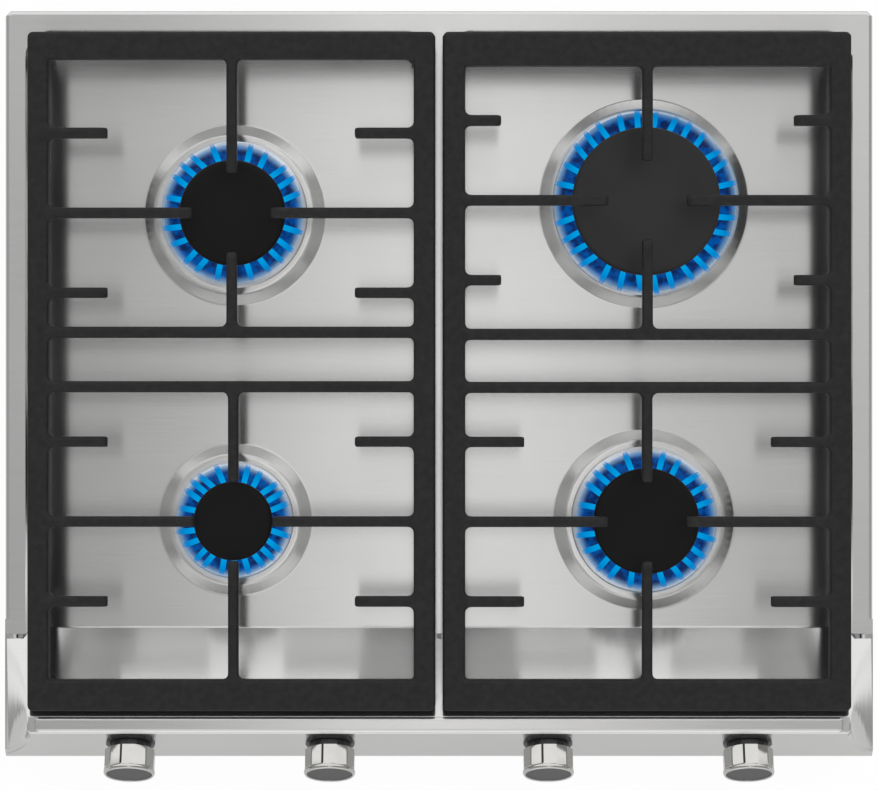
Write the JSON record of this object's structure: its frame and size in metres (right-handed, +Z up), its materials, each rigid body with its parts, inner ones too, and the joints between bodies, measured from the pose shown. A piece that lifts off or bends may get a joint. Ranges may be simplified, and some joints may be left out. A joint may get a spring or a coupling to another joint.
{
  "type": "gas_cooktop",
  "caption": "Built-in gas cooktop: brushed-steel top with raised front panel, cast-iron pan supports, capped burners, push-and-turn knobs and a box with taps below.",
  "frame": {"origin": "centre of the worktop cut-out, on the worktop's upper surface", "axes": "+X to the right along the width, +Y to the rear, +Z up"},
  "size_m": [0.6, 0.5314, 0.1],
  "materials": {
    "steel_top": "brushed along the width",
    "foam_seal": "closed-cell foam",
    "zinc_sheet": "galvanised sheet, dull",
    "screw_steel": "zinc plated",
    "cast_aluminium": "die cast, matte",
    "brass": "turned",
    "cast_iron": "matte black enamel over casting",
    "rubber": "moulded",
    "black_plastic": "moulded, satin",
    "pipe_steel": "black pipe",
    "tube_aluminium": "drawn tube",
    "burner_aluminium": "machined, bright",
    "black_enamel": "satin vitreous enamel",
    "chrome_plating": "bright plating",
    "knob_face": "satin"
  },
  "bodies": {
    "hob": {"hob_top": "steel_top", "worktop_seal": "foam_seal", "burner_box": "zinc_sheet", "box_screws": "screw_steel", "clamp_brackets": "zinc_sheet", "clamp_screws": "screw_steel", "burner_cups": "cast_aluminium", "injector_jets": "brass", "knob_bezels": "black_plastic", "gas_valve_bodies": "cast_aluminium", "gas_manifold": "pipe_steel", "gas_supply_pipe": "pipe_steel", "gas_inlet": "brass", "gas_feed_tubes": "tube_aluminium"},
    "pan_support_left": {"grate_left": "cast_iron", "grate_feet_left": "rubber"},
    "pan_support_right": {"grate_right": "cast_iron", "grate_feet_right": "rubber"},
    "head_rear_left": {"burner_head_rear_left": "burner_aluminium"},
    "cap_rear_left": {"burner_cap_rear_left": "black_enamel"},
    "head_rear_right": {"burner_head_rear_right": "burner_aluminium"},
    "cap_rear_right": {"burner_cap_rear_right": "black_enamel"},
    "head_front_left": {"burner_head_front_left": "burner_aluminium"},
    "cap_front_left": {"burner_cap_front_left": "black_enamel"},
    "head_front_right": {"burner_head_front_right": "burner_aluminium"},
    "cap_front_right": {"burner_cap_front_right": "black_enamel"},
    "plug_front_left": {"valve_plug_front_left": "brass"},
    "knob_front_left": {"knob_shell_front_left": "chrome_plating", "knob_insert_front_left": "knob_face", "valve_stem_front_left": "screw_steel"},
    "plug_rear_left": {"valve_plug_rear_left": "brass"},
    "knob_rear_left": {"knob_shell_rear_left": "chrome_plating", "knob_insert_rear_left": "knob_face", "valve_stem_rear_left": "screw_steel"},
    "plug_rear_right": {"valve_plug_rear_right": "brass"},
    "knob_rear_right": {"knob_shell_rear_right": "chrome_plating", "knob_insert_rear_right": "knob_face", "valve_stem_rear_right": "screw_steel"},
    "plug_front_right": {"valve_plug_front_right": "brass"},
    "knob_front_right": {"knob_shell_front_right": "chrome_plating", "knob_insert_front_right": "knob_face", "valve_stem_front_right": "screw_steel"}
  },
  "joints": [
    {"name": "pan_support_left_lift", "type": "slide", "parent": "hob", "child": "pan_support_left", "axis": [0, 0, 1], "range_m": [0, 0.12]},
    {"name": "pan_support_right_lift", "type": "slide", "parent": "hob", "child": "pan_support_right", "axis": [0, 0, 1], "range_m": [0, 0.12]},
    {"name": "head_rear_left_lift", "type": "slide", "parent": "hob", "child": "head_rear_left", "axis": [0, 0, 1], "range_m": [0, 0.007]},
    {"name": "cap_rear_left_lift", "type": "slide", "parent": "head_rear_left", "child": "cap_rear_left", "axis": [0, 0, 1], "range_m": [0, 0.007]},
    {"name": "head_rear_right_lift", "type": "slide", "parent": "hob", "child": "head_rear_right", "axis": [0, 0, 1], "range_m": [0, 0.007]},
    {"name": "cap_rear_right_lift", "type": "slide", "parent": "head_rear_right", "child": "cap_rear_right", "axis": [0, 0, 1], "range_m": [0, 0.007]},
    {"name": "head_front_left_lift", "type": "slide", "parent": "hob", "child": "head_front_left", "axis": [0, 0, 1], "range_m": [0, 0.007]},
    {"name": "cap_front_left_lift", "type": "slide", "parent": "head_front_left", "child": "cap_front_left", "axis": [0, 0, 1], "range_m": [0, 0.007]},
    {"name": "head_front_right_lift", "type": "slide", "parent": "hob", "child": "head_front_right", "axis": [0, 0, 1], "range_m": [0, 0.007]},
    {"name": "cap_front_right_lift", "type": "slide", "parent": "head_front_right", "child": "cap_front_right", "axis": [0, 0, 1], "range_m": [0, 0.007]},
    {"name": "knob_front_left_turn", "type": "hinge", "parent": "hob", "child": "plug_front_left", "pos_m": [-0.211, -0.24571, 0.028], "axis": [0, -0.913, 0.4079], "range_deg": [0, 210]},
    {"name": "knob_front_left_push", "type": "slide", "parent": "plug_front_left", "child": "knob_front_left", "axis": [0, 0.913, -0.4079], "range_m": [0, 0.004], "stiffness_N_per_m": 600, "springref_m": -0.003},
    {"name": "knob_rear_left_turn", "type": "hinge", "parent": "hob", "child": "plug_rear_left", "pos_m": [-0.0745, -0.24571, 0.028], "axis": [0, -0.913, 0.4079], "range_deg": [0, 210]},
    {"name": "knob_rear_left_push", "type": "slide", "parent": "plug_rear_left", "child": "knob_rear_left", "axis": [0, 0.913, -0.4079], "range_m": [0, 0.004], "stiffness_N_per_m": 600, "springref_m": -0.003},
    {"name": "knob_rear_right_turn", "type": "hinge", "parent": "hob", "child": "plug_rear_right", "pos_m": [0.0745, -0.24571, 0.028], "axis": [0, -0.913, 0.4079], "range_deg": [0, 210]},
    {"name": "knob_rear_right_push", "type": "slide", "parent": "plug_rear_right", "child": "knob_rear_right", "axis": [0, 0.913, -0.4079], "range_m": [0, 0.004], "stiffness_N_per_m": 600, "springref_m": -0.003},
    {"name": "knob_front_right_turn", "type": "hinge", "parent": "hob", "child": "plug_front_right", "pos_m": [0.211, -0.24571, 0.028], "axis": [0, -0.913, 0.4079], "range_deg": [0, 210]},
    {"name": "knob_front_right_push", "type": "slide", "parent": "plug_front_right", "child": "knob_front_right", "axis": [0, 0.913, -0.4079], "range_m": [0, 0.004], "stiffness_N_per_m": 600, "springref_m": -0.003}
  ]
}
